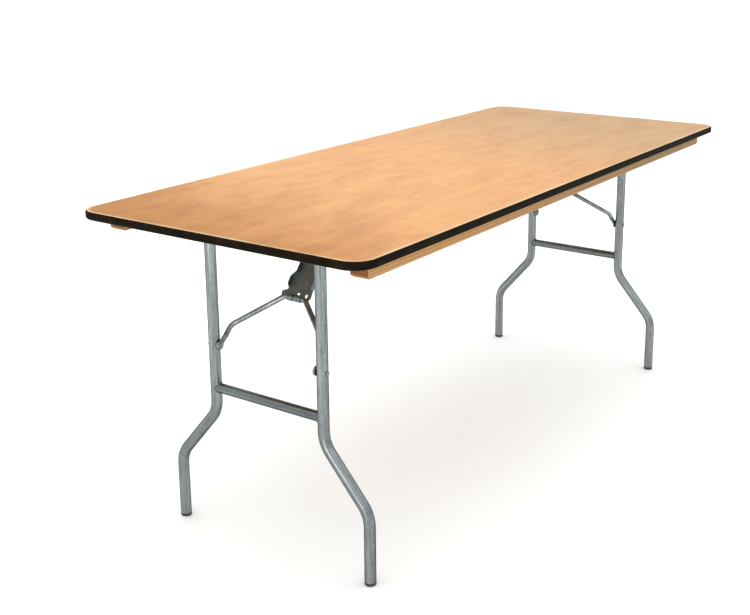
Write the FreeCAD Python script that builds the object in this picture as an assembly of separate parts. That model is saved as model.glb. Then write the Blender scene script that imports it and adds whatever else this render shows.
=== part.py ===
import FreeCAD, Part
import math
import os

# Folding banquet table: a plywood top with a black vinyl edge, on two tubular leg
# frames that fold in under it.  Each leg frame is held open by a two-link brace: two
# bent rods riveted to the legs, and a pressed channel plate hinged under the top.
# Millimetres, +Z up, +X along the length.  The origin is on the floor under the middle
# of the top.  The left end is at -X and the front side is at -Y.

# Overall sizes
table_length = 1829.0
table_width = 762.0
table_height = 762.0

# Plywood top
top_thickness = 18.0
corner_radius = 50.0

# Vinyl edge moulding, with a tongue pushed into a kerf in the plywood
lip_thickness = 3.2
lip_round = 4.5
lip_round_limit_share = 0.45
tongue_thickness = 2.0
tongue_depth = 9.0
kerf_clearance = 0.1

# Wooden side rails and cross cleats under the top
rail_inset = 33.0
rail_width = 42.0
rail_depth = 33.5
rail_end_inset = 66.0
rail_end_bevel = 6.0
rail_easing = 3.0
cleat_thickness = 19.0
cleat_end_gap = 0.5
cleat_easing = 2.0
cleat_margin = 7.0

# Leg frames: two bent tubes, a crossbar and the rod that they turn on
leg_inset = 169.0
leg_spacing = 304.8
foot_spacing = 539.0
leg_diameter = 25.4
leg_wall = 1.5
leg_top_rise = 12.0
leg_top_clearance = 0.8
leg_bend_radius = 70.0
crossbar_diameter = 22.2
crossbar_wall = 1.2
pivot_rod_diameter = 15.9
pivot_rod_overhang = 6.0
pivot_rod_bevel = 1.2
weld_gap = 0.05

# Stations down the leg, as shares of the height of the underside
brace_pivot_share = 0.3387
crossbar_share = 0.4758
knee_share = 0.5511
ankle_share = 0.7325

# Feet: plugs pushed into the leg ends
foot_height = 8.0
foot_bevel = 1.5
foot_stem_length = 16.0
foot_stem_clearance = 0.1

# Brace rods, riveted beside the legs and meeting in the knuckle
knuckle_reach = 100.0
knuckle_drop = 145.0
rod_diameter = 12.0
rod_leg_gap = 0.5
rod_straight = 16.4
rod_bend_radius = 24.0
rod_bend_room_share = 0.4
knuckle_bend_radius = 14.0
knuckle_bend_room_share = 0.45
knuckle_end_gap = 3.0
eye_radius = 10.5
eye_thickness = 5.5
eye_easing = 1.0
neck_length = 16.0
neck_overlap = 3.0
neck_width = 17.0
neck_thickness = 5.0

# Brace plate: a channel with rolled knuckles at both ends, which steps out to a wide foot
# with an ear under each rod, one of them long enough for a thumb
plate_width = 48.0
plate_foot_width = 68.0
plate_shoulder = 48.0
plate_shoulder_rise = 14.0
plate_thickness = 2.0
flange_height = 9.0
flange_foot_gap = 25.0
flange_anchor_gap = 16.0
flange_round = 8.0
foot_web = 15.0
anchor_web = 12.0
curl_wrap_angle = 265.0
knuckle_row_width = 38.0
middle_window = 7.0
side_window = 6.0
upper_knuckle_width = 18.0
stop_ear_reach = 1.0
thumb_tab_reach = 13.0
stop_ear_length = 23.0
stop_ear_lap = 4.0
stop_ear_flare = 5.0
stop_ear_taper = 6.0
stop_ear_relief = 0.4
stop_ear_round = 3.0

# Fit and fold clearances
running_clearance = 0.05
fold_clearance = 2.5
fold_headroom = 3.2

# Hinge brackets: pressed channels screwed under the cleats
bracket_thickness = 2.5
bracket_bend_radius = 3.0
hinge_bracket_length = 78.0
hinge_ear_radius = 14.0
hinge_ear_gap = 1.0
brace_bracket_length = 60.0
brace_ear_radius = 12.5
brace_ear_gap = 0.8
brace_pin_overhang = 1.5
brace_pin_head_radius = 8.0
brace_pin_head_height = 2.4

# Rivets between the brace rods and the legs
rivet_diameter = 6.4
rivet_hole_clearance = 0.05
rivet_head_radius = 5.6
rivet_head_height = 2.0
rivet_dome_share = 0.8
rivet_leg_inset = 0.05

# Wood screws
screw_diameter = 4.2
screw_tip_length = 4.0
screw_hole_clearance = 0.05
flat_head_radius = 4.2
flat_head_height = 2.6
pan_head_radius = 4.1
pan_head_height = 2.4
top_screw_bite = 11.0
bracket_screw_bite = 15.0
hinge_screw_end_inset = 9.0
hinge_screw_side_inset = 6.7
brace_screw_end_inset = 8.0
brace_screw_side_inset = 10.0
rail_screw_count = 6
rail_screw_end_inset = 90.0
hinge_cleat_screw_shares = (-0.82, -0.2, 0.2, 0.82)
brace_cleat_screw_shares = (-0.82, -0.35, 0.35, 0.82)

# How far cutting tools run past the faces that they cut
overrun = 5.0

# How closely an edge has to agree to be picked
edge_tolerance = 1e-6

# Places worked out from the sizes above
underside = table_height - top_thickness
half_length = table_length / 2
half_width = table_width / 2
panel_length = table_length - 2 * lip_thickness
panel_width = table_width - 2 * lip_thickness
panel_corner = corner_radius - lip_thickness
tongue_level = table_height - top_thickness / 2
rail_outer = half_width - rail_inset
rail_inner = rail_outer - rail_width
rail_half_length = half_length - rail_end_inset
rail_bottom = underside - rail_depth
cleat_bottom = underside - cleat_thickness
cleat_half_span = rail_inner - cleat_end_gap
hinge_cleat_width = hinge_bracket_length + 2 * cleat_margin
brace_cleat_width = brace_bracket_length + 2 * cleat_margin

leg_radius = leg_diameter / 2
crossbar_radius = crossbar_diameter / 2
pivot_rod_radius = pivot_rod_diameter / 2
rod_radius = rod_diameter / 2
rivet_radius = rivet_diameter / 2
leg_line = leg_spacing / 2
foot_line = foot_spacing / 2
leg_inner_face = leg_line - leg_radius
leg_outer_face = leg_line + leg_radius
brace_pivot_drop = brace_pivot_share * underside
crossbar_drop = crossbar_share * underside
knee_drop = knee_share * underside
ankle_drop = ankle_share * underside

# The brace lies flat between the crossbar and the top when the legs are folded.
# That sets how far the folded rods tilt.  The hinge hangs low enough under the top for
# the folded brace, and for the leg tops to turn under their brackets.
curl_inner = rod_radius + running_clearance
curl_outer = curl_inner + plate_thickness
rod_rise = brace_pivot_drop - knuckle_drop
rod_length = math.hypot(knuckle_reach, rod_rise)
rod_angle = math.degrees(math.atan2(rod_rise, knuckle_reach))
fold_offset = crossbar_radius + rod_radius + fold_clearance
fold_tilt = math.degrees(math.asin(fold_offset / (crossbar_drop - brace_pivot_drop)))
folded_reach = brace_pivot_drop + rod_length * math.cos(math.radians(fold_tilt))
folded_rise = rod_length * math.sin(math.radians(fold_tilt))
brace_room = folded_rise + curl_outer + fold_headroom
leg_top_swing = math.hypot(leg_top_rise, leg_radius)
bracket_room = cleat_thickness + bracket_thickness + leg_top_swing + leg_top_clearance
hinge_drop = max(brace_room, bracket_room)
hinge_level = underside - hinge_drop
hinge_line = half_length - leg_inset

# The plate's anchor is level with the hinge line, and as far from the knuckle's open
# place as from its folded place.
anchor_gain = folded_reach ** 2 + folded_rise ** 2 - knuckle_reach ** 2 - knuckle_drop ** 2
anchor_reach = anchor_gain / (2 * (folded_reach - knuckle_reach))
plate_length = math.hypot(anchor_reach - knuckle_reach, knuckle_drop)
plate_angle = math.degrees(math.atan2(knuckle_drop, anchor_reach - knuckle_reach))
folded_plate_angle = math.degrees(math.atan2(folded_rise, folded_reach - anchor_reach))
full_fold = 90.0
half_turn = 180.0
plate_turn = half_turn - plate_angle + folded_plate_angle
rod_turn = fold_tilt - rod_angle - plate_turn

rod_line = leg_inner_face - rod_leg_gap - rod_radius
rod_start = eye_radius + neck_length
rod_lead = rod_start + rod_straight + rod_bend_room_share * rod_bend_radius
knuckle_room = knuckle_end_gap + knuckle_bend_room_share * knuckle_bend_radius
knuckle_corner = knuckle_row_width / 2 + knuckle_room


def at_end(inward, across, up):
    """A point of the left end, measured from the middle of its hinge line."""
    return FreeCAD.Vector(inward - hinge_line, across, hinge_level + up)


def block(low, high):
    """A box between two corners."""
    size = high - low
    return Part.makeBox(size.x, size.y, size.z, low)


def bar(radius, start, end):
    """A round bar between two points."""
    return Part.makeCylinder(radius, (end - start).Length, start, end - start)


def fused(shapes):
    """One solid made of overlapping or touching solids."""
    return shapes[0].multiFuse(shapes[1:]).removeSplitter()


def extruded(edges, reach):
    """A solid from a closed run of edges, pushed along a vector."""
    return Part.Face(Part.Wire(edges)).extrude(reach)


def polygon(points):
    """The edges of a closed polygon."""
    following = points[1:] + points[:1]
    return [Part.makeLine(a, b) for a, b in zip(points, following)]


def level_edges(shape):
    """The edges of a shape that lie in a level plane."""
    return [edge for edge in shape.Edges if edge.BoundBox.ZLength < edge_tolerance]


def upright_edges(shape):
    """The straight edges of a shape that stand upright."""
    edges = []
    for edge in shape.Edges:
        box = edge.BoundBox
        if max(box.XLength, box.YLength) < edge_tolerance < box.ZLength:
            edges.append(edge)
    return edges


def rounded_slab(length, width, low, high, radius):
    """A flat slab centred on the Z axis, with rounded corners in plan."""
    slab = block(
        FreeCAD.Vector(-length / 2, -width / 2, low),
        FreeCAD.Vector(length / 2, width / 2, high),
    )
    return slab.makeFillet(radius, upright_edges(slab))


def bent_path(points, radii):
    """A wire of straight runs joined by tangent arcs, one radius for each inner point."""
    edges = []
    start = points[0]
    for before, corner, after, radius in zip(points, points[1:], points[2:], radii):
        arriving = (corner - before).normalize()
        leaving = (after - corner).normalize()
        half_bend = arriving.getAngle(leaving) / 2
        setback = radius * math.tan(half_bend)
        inward = (leaving - arriving).normalize()
        arc_start = corner - arriving * setback
        arc_end = corner + leaving * setback
        arc_middle = corner + inward * (radius / math.cos(half_bend) - radius)
        edges.append(Part.makeLine(start, arc_start))
        edges.append(Part.Arc(arc_start, arc_middle, arc_end).toShape())
        start = arc_end
    edges.append(Part.makeLine(start, points[-1]))
    return Part.Wire(edges)


def bent_bar(points, radii, radius):
    """A round bar swept along a bent path."""
    section = Part.makeCircle(radius, points[0], points[1] - points[0])
    return bent_path(points, radii).makePipeShell([Part.Wire([section])], True, False)


def across_mirror(shape):
    """The same piece on the other long side of the table."""
    return shape.mirror(FreeCAD.Vector(), FreeCAD.Vector(0, 1, 0))


def end_mirror(shape):
    """The same piece at the other end of the table."""
    return shape.mirror(FreeCAD.Vector(), FreeCAD.Vector(1, 0, 0))


def turned_about(shape):
    """The same piece turned half round, at the other end of the table."""
    return shape.rotated(FreeCAD.Vector(), FreeCAD.Vector(0, 0, 1), half_turn)


def both_ends(shapes):
    """Left pieces, then the same pieces at the right end."""
    return shapes + [end_mirror(shape) for shape in shapes]


# Wood screws, all driven upwards: their places are given where the head seats
def flat_screw(seat, length):
    """A countersunk screw whose head is flush with the seat."""
    up = FreeCAD.Vector(0, 0, 1)
    radius = screw_diameter / 2
    head = Part.makeCone(flat_head_radius, radius, flat_head_height, seat, up)
    shank_length = length - screw_tip_length
    shank = Part.makeCylinder(radius, shank_length, seat, up)
    tip = Part.makeCone(radius, 0, screw_tip_length, seat + up * shank_length, up)
    return fused([head, shank, tip])


def flat_screw_hole(seat, length):
    """The pilot hole and countersink of a flat screw."""
    up = FreeCAD.Vector(0, 0, 1)
    radius = screw_diameter / 2 + screw_hole_clearance
    sink_radius = flat_head_radius + screw_hole_clearance
    sink = Part.makeCone(sink_radius, radius, flat_head_height, seat, up)
    pilot = Part.makeCylinder(radius, length + screw_hole_clearance, seat, up)
    return fused([sink, pilot])


def pan_screw(seat, length):
    """A screw with a domed head that stands below the seat."""
    up = FreeCAD.Vector(0, 0, 1)
    radius = screw_diameter / 2
    head = Part.makeCylinder(pan_head_radius, pan_head_height, seat - up * pan_head_height, up)
    rim = [edge for edge in level_edges(head) if edge.BoundBox.ZMin < seat.z - pan_head_height / 2]
    head = head.makeFillet(pan_head_height / 2, rim)
    shank_length = length - screw_tip_length
    shank = Part.makeCylinder(radius, shank_length, seat, up)
    tip = Part.makeCone(radius, 0, screw_tip_length, seat + up * shank_length, up)
    return fused([head, shank, tip])


def pan_screw_hole(seat, length):
    """The pilot hole of a pan screw, through its bracket and into the wood."""
    up = FreeCAD.Vector(0, 0, 1)
    radius = screw_diameter / 2 + screw_hole_clearance
    return Part.makeCylinder(radius, length + screw_hole_clearance, seat, up)


# Where the screws go
rail_screw_length = rail_depth + top_screw_bite
cleat_screw_length = cleat_thickness + top_screw_bite
bracket_screw_length = bracket_thickness + bracket_screw_bite
bracket_seat = cleat_bottom - bracket_thickness
rail_screw_line = rail_outer - rail_width / 2
rail_screw_span = 2 * (rail_half_length - rail_screw_end_inset)

front_rail_seats = []
for place in range(rail_screw_count):
    along = place / (rail_screw_count - 1) * rail_screw_span - rail_screw_span / 2
    front_rail_seats.append(FreeCAD.Vector(along, -rail_screw_line, rail_bottom))
back_rail_seats = [FreeCAD.Vector(seat.x, -seat.y, seat.z) for seat in front_rail_seats]

hinge_cleat_seats = [
    FreeCAD.Vector(-hinge_line, share * cleat_half_span, cleat_bottom)
    for share in hinge_cleat_screw_shares
]
brace_cleat_seats = [
    FreeCAD.Vector(anchor_reach - hinge_line, share * cleat_half_span, cleat_bottom)
    for share in brace_cleat_screw_shares
]


def screw_rectangle(centre_x, centre_y, half_x, half_y):
    """Four screw seats under a bracket."""
    seats = []
    for side in (-1, 1):
        for row in (-1, 1):
            seats.append(FreeCAD.Vector(centre_x + side * half_x, centre_y + row * half_y, bracket_seat))
    return seats


hinge_ear_inside = leg_diameter + 2 * hinge_ear_gap
brace_ear_inside = plate_width + 2 * brace_ear_gap
hinge_screw_reach = hinge_bracket_length / 2 - hinge_screw_end_inset
hinge_screw_side = hinge_ear_inside / 2 - hinge_screw_side_inset
brace_screw_reach = brace_bracket_length / 2 - brace_screw_end_inset
brace_screw_side = brace_ear_inside / 2 - brace_screw_side_inset
front_hinge_seats = screw_rectangle(-hinge_line, -leg_line, hinge_screw_reach, hinge_screw_side)
back_hinge_seats = screw_rectangle(-hinge_line, leg_line, hinge_screw_reach, hinge_screw_side)
brace_seats = screw_rectangle(anchor_reach - hinge_line, 0, brace_screw_reach, brace_screw_side)


# Plywood top and its edge
def panel_blank():
    """The plywood sheet before it is grooved and drilled."""
    return rounded_slab(panel_length, panel_width, underside, table_height, panel_corner)


def edge_groove(thickness, depth):
    """A ring of the given height and depth inside the edge of the plywood."""
    low = tongue_level - thickness / 2
    high = tongue_level + thickness / 2
    outer = rounded_slab(panel_length, panel_width, low, high, panel_corner)
    inner = rounded_slab(
        panel_length - 2 * depth,
        panel_width - 2 * depth,
        low - overrun,
        high + overrun,
        panel_corner - depth,
    )
    return outer.cut(inner)


def tabletop_panel():
    """The plywood sheet with its kerf and screw holes."""
    kerf = edge_groove(tongue_thickness + 2 * kerf_clearance, tongue_depth + kerf_clearance)
    drills = [flat_screw_hole(seat, rail_screw_length) for seat in front_rail_seats + back_rail_seats]
    cleat_seats = hinge_cleat_seats + brace_cleat_seats
    cleat_drills = [flat_screw_hole(seat, cleat_screw_length) for seat in cleat_seats]
    return panel_blank().cut([kerf] + drills + both_ends(cleat_drills))


def edge_moulding():
    """The vinyl edge: a domed lip round the plywood and a tongue in its kerf."""
    outer = rounded_slab(table_length, table_width, underside, table_height, corner_radius)
    rounding = min(lip_round, lip_round_limit_share * top_thickness)
    outer = outer.makeFillet(rounding, level_edges(outer))
    core = panel_blank().cut(edge_groove(tongue_thickness, tongue_depth))
    return outer.cut(core)


# Rails and cleats
def front_rail():
    """A long rail under the front edge, eased along its bottom and bevelled at its ends."""
    rail = block(
        FreeCAD.Vector(-rail_half_length, -rail_outer, rail_bottom),
        FreeCAD.Vector(rail_half_length, -rail_inner, underside),
    )
    bottom = [edge for edge in level_edges(rail) if edge.BoundBox.ZMax < underside - edge_tolerance]
    ends = [edge for edge in bottom if edge.BoundBox.XLength < edge_tolerance]
    rail = rail.makeChamfer(rail_end_bevel, ends)
    long_edges = []
    for edge in level_edges(rail):
        box = edge.BoundBox
        if box.ZMax < rail_bottom + edge_tolerance and box.YLength < edge_tolerance:
            long_edges.append(edge)
    return rail.makeFillet(rail_easing, long_edges)


def cleat(centre, width, wood_seats, bracket_seats):
    """A board across the underside between the rails, drilled for its screws."""
    board = block(
        FreeCAD.Vector(centre - width / 2, -cleat_half_span, cleat_bottom),
        FreeCAD.Vector(centre + width / 2, cleat_half_span, underside),
    )
    eased = []
    for edge in level_edges(board):
        box = edge.BoundBox
        if box.ZMax < underside - edge_tolerance and box.XLength < edge_tolerance:
            eased.append(edge)
    board = board.makeFillet(cleat_easing, eased)
    drills = [flat_screw_hole(seat, cleat_screw_length) for seat in wood_seats]
    drills += [pan_screw_hole(seat, bracket_screw_length) for seat in bracket_seats]
    return board.cut(drills)


# Brackets
def ear_bracket(centre_x, centre_y, length, inside, ear_radius, pin_radius, seats):
    """A pressed channel whose two ears hang from the cleat and carry a pin across."""
    half_out = inside / 2 + bracket_thickness
    depth = cleat_bottom - hinge_level + ear_radius
    low = FreeCAD.Vector(centre_x - length / 2, centre_y - half_out, cleat_bottom - depth)
    high = FreeCAD.Vector(centre_x + length / 2, centre_y + half_out, cleat_bottom)
    outside = block(low, high)
    bends = []
    for edge in level_edges(outside):
        if edge.BoundBox.ZMin > cleat_bottom - edge_tolerance and edge.BoundBox.XLength > edge_tolerance:
            bends.append(edge)
    outside = outside.makeFillet(bracket_bend_radius, bends)
    hollow = block(
        FreeCAD.Vector(low.x - overrun, centre_y - inside / 2, low.z - overrun),
        FreeCAD.Vector(high.x + overrun, centre_y + inside / 2, bracket_seat),
    )
    channel = outside.cut(hollow)
    side = low.y - overrun
    shoulder = length / 2
    top_left = FreeCAD.Vector(centre_x - shoulder, side, cleat_bottom)
    top_right = FreeCAD.Vector(centre_x + shoulder, side, cleat_bottom)
    base_left = FreeCAD.Vector(centre_x - shoulder, side, bracket_seat - bracket_thickness)
    base_right = FreeCAD.Vector(centre_x + shoulder, side, bracket_seat - bracket_thickness)
    ear_left = FreeCAD.Vector(centre_x - ear_radius, side, hinge_level)
    ear_right = FreeCAD.Vector(centre_x + ear_radius, side, hinge_level)
    ear_bottom = FreeCAD.Vector(centre_x, side, hinge_level - ear_radius)
    outline = [
        Part.makeLine(top_right, top_left),
        Part.makeLine(top_left, base_left),
        Part.makeLine(base_left, ear_left),
        Part.Arc(ear_left, ear_bottom, ear_right).toShape(),
        Part.makeLine(ear_right, base_right),
        Part.makeLine(base_right, top_right),
    ]
    pressed = channel.common(extruded(outline, FreeCAD.Vector(0, 2 * (half_out + overrun), 0)))
    pin_hole = bar(
        pin_radius,
        FreeCAD.Vector(centre_x, low.y - overrun, hinge_level),
        FreeCAD.Vector(centre_x, high.y + overrun, hinge_level),
    )
    return pressed.cut([pin_hole] + [pan_screw_hole(seat, bracket_screw_length) for seat in seats])


def hinge_bracket(centre_y, seats):
    """The bracket that straddles the top of one leg."""
    return ear_bracket(
        -hinge_line,
        centre_y,
        hinge_bracket_length,
        hinge_ear_inside,
        hinge_ear_radius,
        pivot_rod_radius + running_clearance,
        seats,
    )


def brace_bracket():
    """The bracket that carries the upper end of the brace plate."""
    return ear_bracket(
        anchor_reach - hinge_line,
        0,
        brace_bracket_length,
        brace_ear_inside,
        brace_ear_radius,
        rod_radius,
        brace_seats,
    )


def brace_pin():
    """The headed pin through the brace bracket."""
    half = brace_ear_inside / 2 + bracket_thickness
    pin = bar(rod_radius, at_end(anchor_reach, -half, 0), at_end(anchor_reach, half, 0))
    head = bar(
        brace_pin_head_radius,
        at_end(anchor_reach, half, 0),
        at_end(anchor_reach, half + brace_pin_head_height, 0),
    )
    tail = bar(
        rod_radius,
        at_end(anchor_reach, -half - brace_pin_overhang, 0),
        at_end(anchor_reach, -half, 0),
    )
    return fused([pin, head, tail])


# Leg frame
def leg_points(overlength):
    """The front leg's centre line, from its top to its foot."""
    foot_top = foot_height - hinge_level
    return [
        at_end(0, -leg_line, leg_top_rise + overlength),
        at_end(0, -leg_line, -knee_drop),
        at_end(0, -foot_line, -ankle_drop),
        at_end(0, -foot_line, foot_top - overlength),
    ]


def leg_bar(radius, overlength):
    """A round bar along the front leg's centre line."""
    return bent_bar(leg_points(overlength), [leg_bend_radius, leg_bend_radius], radius)


def front_leg():
    """A bent tube, cross-drilled for the pivot rod and the brace rivet."""
    tube = leg_bar(leg_radius, 0).cut(leg_bar(leg_radius - leg_wall, overrun))
    outside = leg_outer_face + overrun
    inside = leg_inner_face - overrun
    pivot_hole = bar(pivot_rod_radius + weld_gap, at_end(0, -outside, 0), at_end(0, -inside, 0))
    rivet_hole = bar(
        rivet_radius + rivet_hole_clearance,
        at_end(0, -outside, -brace_pivot_drop),
        at_end(0, -inside, -brace_pivot_drop),
    )
    return tube.cut([pivot_hole, rivet_hole])


def crossbar():
    """A tube between the legs, with its ends cut to fit round them."""
    start = at_end(0, -leg_line, -crossbar_drop)
    end = at_end(0, leg_line, -crossbar_drop)
    tube = bar(crossbar_radius, start, end)
    bore = bar(crossbar_radius - crossbar_wall, start, end)
    front = leg_bar(leg_radius + weld_gap, overrun)
    return tube.cut([bore, front, across_mirror(front)])


def pivot_rod():
    """The rod that the leg frame turns on, through both legs and all four ears."""
    half = leg_line + hinge_ear_inside / 2 + bracket_thickness + pivot_rod_overhang
    rod = bar(pivot_rod_radius, at_end(0, -half, 0), at_end(0, half, 0))
    rims = [edge for edge in rod.Edges if edge.BoundBox.YLength < edge_tolerance]
    return rod.makeChamfer(pivot_rod_bevel, rims)


def front_foot():
    """A plug with a stem inside the leg and a foot below it."""
    up = FreeCAD.Vector(0, 0, 1)
    floor_point = at_end(0, -foot_line, -hinge_level)
    foot = Part.makeCylinder(leg_radius, foot_height, floor_point, up)
    rim = [edge for edge in level_edges(foot) if edge.BoundBox.ZMax < foot_height / 2]
    foot = foot.makeChamfer(foot_bevel, rim)
    stem_radius = leg_radius - leg_wall - foot_stem_clearance
    stem = Part.makeCylinder(stem_radius, foot_stem_length, floor_point + up * foot_height, up)
    return fused([foot, stem])


def domed_head(seat, outward):
    """A rivet head on its seat, rounded on the outside."""
    head = Part.makeCylinder(rivet_head_radius, rivet_head_height, seat, outward)
    crown = seat + outward * rivet_head_height
    rim = []
    for edge in head.Edges:
        if edge.BoundBox.YLength < edge_tolerance and abs(edge.BoundBox.YMin - crown.y) < edge_tolerance:
            rim.append(edge)
    return head.makeFillet(rivet_head_height * rivet_dome_share, rim)


def leg_rivet():
    """The rivet through the front leg, headed on the outside."""
    outward = FreeCAD.Vector(0, -1, 0)
    outer = at_end(0, -leg_outer_face, -brace_pivot_drop)
    inner = at_end(0, -leg_inner_face - rivet_leg_inset, -brace_pivot_drop)
    return fused([bar(rivet_radius, inner, outer), domed_head(outer, outward)])


# Brace rods
eye_outer_face = rod_line + rod_radius
eye_inner_face = eye_outer_face - eye_thickness


def along_rod(distance, across):
    """A point in the plane of the brace rods, measured from the rivet line."""
    share = distance / rod_length
    return at_end(share * knuckle_reach, across, share * rod_rise - brace_pivot_drop)


def rod_section(wire, distance, across):
    """A section drawn about the Z axis, set square to the rod with its Y axis across."""
    forward = (along_rod(rod_length, 0) - along_rod(0, 0)).normalize()
    sideways = FreeCAD.Vector(0, 1, 0)
    level = sideways.cross(forward)
    turn = FreeCAD.Rotation(level, sideways, forward, "ZXY")
    placed = wire.copy()
    placed.Placement = FreeCAD.Placement(along_rod(distance, across), turn)
    return placed


def front_brace_rod():
    """A round rod: a flat eye beside the leg, two bends, and half of the knuckle's axle."""
    centre_line = [
        along_rod(rod_start, -rod_line),
        along_rod(rod_lead, -rod_line),
        along_rod(rod_length, -knuckle_corner),
        along_rod(rod_length, 0),
    ]
    rod = bent_bar(centre_line, [rod_bend_radius, knuckle_bend_radius], rod_radius)
    flat = Part.Wire([Part.Ellipse(FreeCAD.Vector(), neck_width / 2, neck_thickness / 2).toShape()])
    whole = Part.Wire([Part.makeCircle(rod_radius)])
    eye_middle = (eye_outer_face + eye_inner_face) / 2
    neck = Part.makeLoft(
        [
            rod_section(flat, eye_radius - neck_overlap, -eye_middle),
            rod_section(whole, rod_start, -rod_line),
        ],
        True,
        True,
    )
    eye = bar(eye_radius, along_rod(0, -eye_outer_face), along_rod(0, -eye_inner_face))
    rims = [edge for edge in eye.Edges if edge.BoundBox.YLength < edge_tolerance]
    eye = eye.makeFillet(eye_easing, rims)
    hole = bar(
        rivet_radius + rivet_hole_clearance,
        along_rod(0, -eye_outer_face - overrun),
        along_rod(0, -eye_inner_face + overrun),
    )
    return fused([eye, neck, rod]).cut(hole)


def rivet_tail():
    """The rivet's upset end, which holds the eye: it turns with the rod."""
    inner = along_rod(0, -eye_inner_face)
    outer = along_rod(0, -eye_outer_face)
    return fused([bar(rivet_radius, outer, inner), domed_head(inner, FreeCAD.Vector(0, 1, 0))])


# Brace plate, drawn flat: s runs from the knuckle to the anchor, n towards the open side
def on_plate(s, across, n):
    """A point of the brace plate at rest."""
    angle = math.radians(plate_angle)
    inward = knuckle_reach + s * math.cos(angle) - n * math.sin(angle)
    up = s * math.sin(angle) + n * math.cos(angle) - knuckle_drop
    return at_end(inward, across, up)


def plate_slab(outline, n_range):
    """A slab in the plate's own directions, from an outline of (s, across) points."""
    n_low, n_high = n_range
    corners = [on_plate(s, across, n_low) for s, across in outline]
    return extruded(polygon(corners), on_plate(0, 0, n_high) - on_plate(0, 0, n_low))


def curl(centre_s, web_run, across_range):
    """A rolled knuckle round an axle, with a stretch of web running to the middle."""
    toward = math.copysign(1, web_run)
    a_low, a_high = across_range

    def polar(radius, angle):
        turn = math.radians(angle)
        return on_plate(centre_s - toward * radius * math.sin(turn), a_low, -radius * math.cos(turn))

    web_end = centre_s + web_run
    web_inside = on_plate(web_end, a_low, -curl_inner)
    web_outside = on_plate(web_end, a_low, -curl_outer)
    wrap = (0, curl_wrap_angle / 2, curl_wrap_angle)
    outside = [polar(curl_outer, angle) for angle in wrap]
    inside = [polar(curl_inner, angle) for angle in wrap]
    edges = [
        Part.makeLine(web_inside, web_outside),
        Part.makeLine(web_outside, outside[0]),
        Part.Arc(*outside).toShape(),
        Part.makeLine(outside[-1], inside[-1]),
        Part.Arc(*reversed(inside)).toShape(),
        Part.makeLine(inside[0], web_inside),
    ]
    return extruded(edges, FreeCAD.Vector(0, a_high - a_low, 0))


def plate_edge(s_low, s_high, inset):
    """One side of the plate's outline, from its foot to its anchor, moved in by an inset."""
    foot = plate_foot_width / 2 - inset
    neck = plate_width / 2 - inset
    return [
        (s_low, foot),
        (plate_shoulder, foot),
        (plate_shoulder + plate_shoulder_rise, neck),
        (s_high, neck),
    ]


def stop_ear(inner, reach):
    """An ear beside the plate's foot, which the opened rod rests against."""
    top = foot_web + stop_ear_lap
    bottom = top - stop_ear_length
    foot = plate_foot_width / 2
    outer = foot + reach
    outline = [
        (top, inner),
        (top, foot),
        (top - stop_ear_flare, outer),
        (bottom + stop_ear_length / 2, outer),
        (bottom, outer - stop_ear_taper),
        (bottom, inner),
    ]
    ear = plate_slab(outline, (-curl_outer, -curl_inner - stop_ear_relief))
    rounded = []
    for edge in ear.Edges:
        middle = edge.CenterOfMass
        for s, across in outline[2:5]:
            corner = on_plate(s, across, -(curl_outer + curl_inner + stop_ear_relief) / 2)
            if (middle - corner).Length < edge_tolerance:
                rounded.append(edge)
    return ear.makeFillet(stop_ear_round, rounded)


def brace_plate():
    """The channel plate with its knuckles, flanges, stop ear and thumb tab."""
    side = plate_edge(foot_web, plate_length - anchor_web, 0)
    web = plate_slab(side + [(s, -across) for s, across in reversed(side)], (-curl_outer, -curl_inner))
    flange_s = (flange_foot_gap, plate_length - flange_anchor_gap)
    outside = plate_edge(*flange_s, 0)
    inside = plate_edge(*flange_s, plate_thickness)
    flange_top = flange_height - curl_inner
    flange = plate_slab(outside + inside[::-1], (-curl_outer, flange_top))
    channel = fused([web, flange, across_mirror(flange)])
    corners = []
    for edge in channel.Edges:
        middle = edge.CenterOfMass
        for s in flange_s:
            top_corner = on_plate(s, middle.y, flange_top)
            if edge.BoundBox.YLength > edge_tolerance and (middle - top_corner).Length < edge_tolerance:
                corners.append(edge)
    channel = channel.makeFillet(flange_round, corners)
    row_end = knuckle_row_width / 2
    lower_knuckle = curl(0, foot_web, (middle_window / 2, row_end))
    neck = plate_width / 2
    upper_knuckle = curl(plate_length, -anchor_web, (neck - upper_knuckle_width, neck))
    front_ear = across_mirror(stop_ear(row_end + side_window, stop_ear_reach))
    thumb_tab = stop_ear(row_end, thumb_tab_reach)
    pieces = [channel, front_ear, thumb_tab]
    for piece in (lower_knuckle, upper_knuckle):
        pieces += [piece, across_mirror(piece)]
    return fused(pieces)


# All pieces, by name
nodes = {
    "tabletop_panel": tabletop_panel(),
    "edge_moulding": edge_moulding(),
}

rail = front_rail()
nodes["front_rail"] = rail.cut([flat_screw_hole(seat, rail_screw_length) for seat in front_rail_seats])
nodes["back_rail"] = across_mirror(nodes["front_rail"])

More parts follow.
